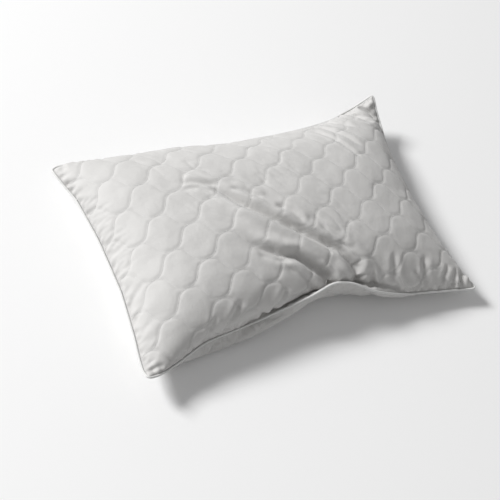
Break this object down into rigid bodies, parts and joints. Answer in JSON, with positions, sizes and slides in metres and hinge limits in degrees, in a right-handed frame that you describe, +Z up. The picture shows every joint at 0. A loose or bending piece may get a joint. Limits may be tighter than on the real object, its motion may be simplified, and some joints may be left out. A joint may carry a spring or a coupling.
{
  "type": "bed pillow",
  "caption": "Rectangular bed pillow with wave-quilted cotton panels, a piped edge seam and a loose fibre filling.",
  "frame": {"origin": "centre of the plan outline, on the surface that the pillow lies on", "axes": "+X along the long side, +Y along the short side towards the side with the filling opening, +Z up through the thickness"},
  "size_m": [0.737, 0.4792, 0.15],
  "materials": {
    "cotton": "smooth satin-finished cotton, off-white",
    "piping": "bias-cut cotton strip, off-white",
    "thread": "spun thread, off-white",
    "wadding": "lofted polyester wadding, white",
    "lining": "thin non-woven lining, white",
    "filling": "loose hollow fibre, white"
  },
  "bodies": {
    "root": {"closing_thread": "thread", "filling": "filling", "lower_face_cloth": "cotton", "lower_lining": "lining", "lower_quilting_thread_1": "thread", "lower_quilting_thread_10": "thread", "lower_quilting_thread_11": "thread", "lower_quilting_thread_12": "thread", "lower_quilting_thread_2": "thread", "lower_quilting_thread_3": "thread", "lower_quilting_thread_4": "thread", "lower_quilting_thread_5": "thread", "lower_quilting_thread_6": "thread", "lower_quilting_thread_7": "thread", "lower_quilting_thread_8": "thread", "lower_quilting_thread_9": "thread", "lower_wadding": "wadding", "piping_cord": "thread", "piping_strip": "piping", "seam_thread": "thread", "upper_face_cloth": "cotton", "upper_lining": "lining", "upper_quilting_thread_1": "thread", "upper_quilting_thread_10": "thread", "upper_quilting_thread_11": "thread", "upper_quilting_thread_12": "thread", "upper_quilting_thread_2": "thread", "upper_quilting_thread_3": "thread", "upper_quilting_thread_4": "thread", "upper_quilting_thread_5": "thread", "upper_quilting_thread_6": "thread", "upper_quilting_thread_7": "thread", "upper_quilting_thread_8": "thread", "upper_quilting_thread_9": "thread", "upper_wadding": "wadding"}
  },
  "joints": []
}
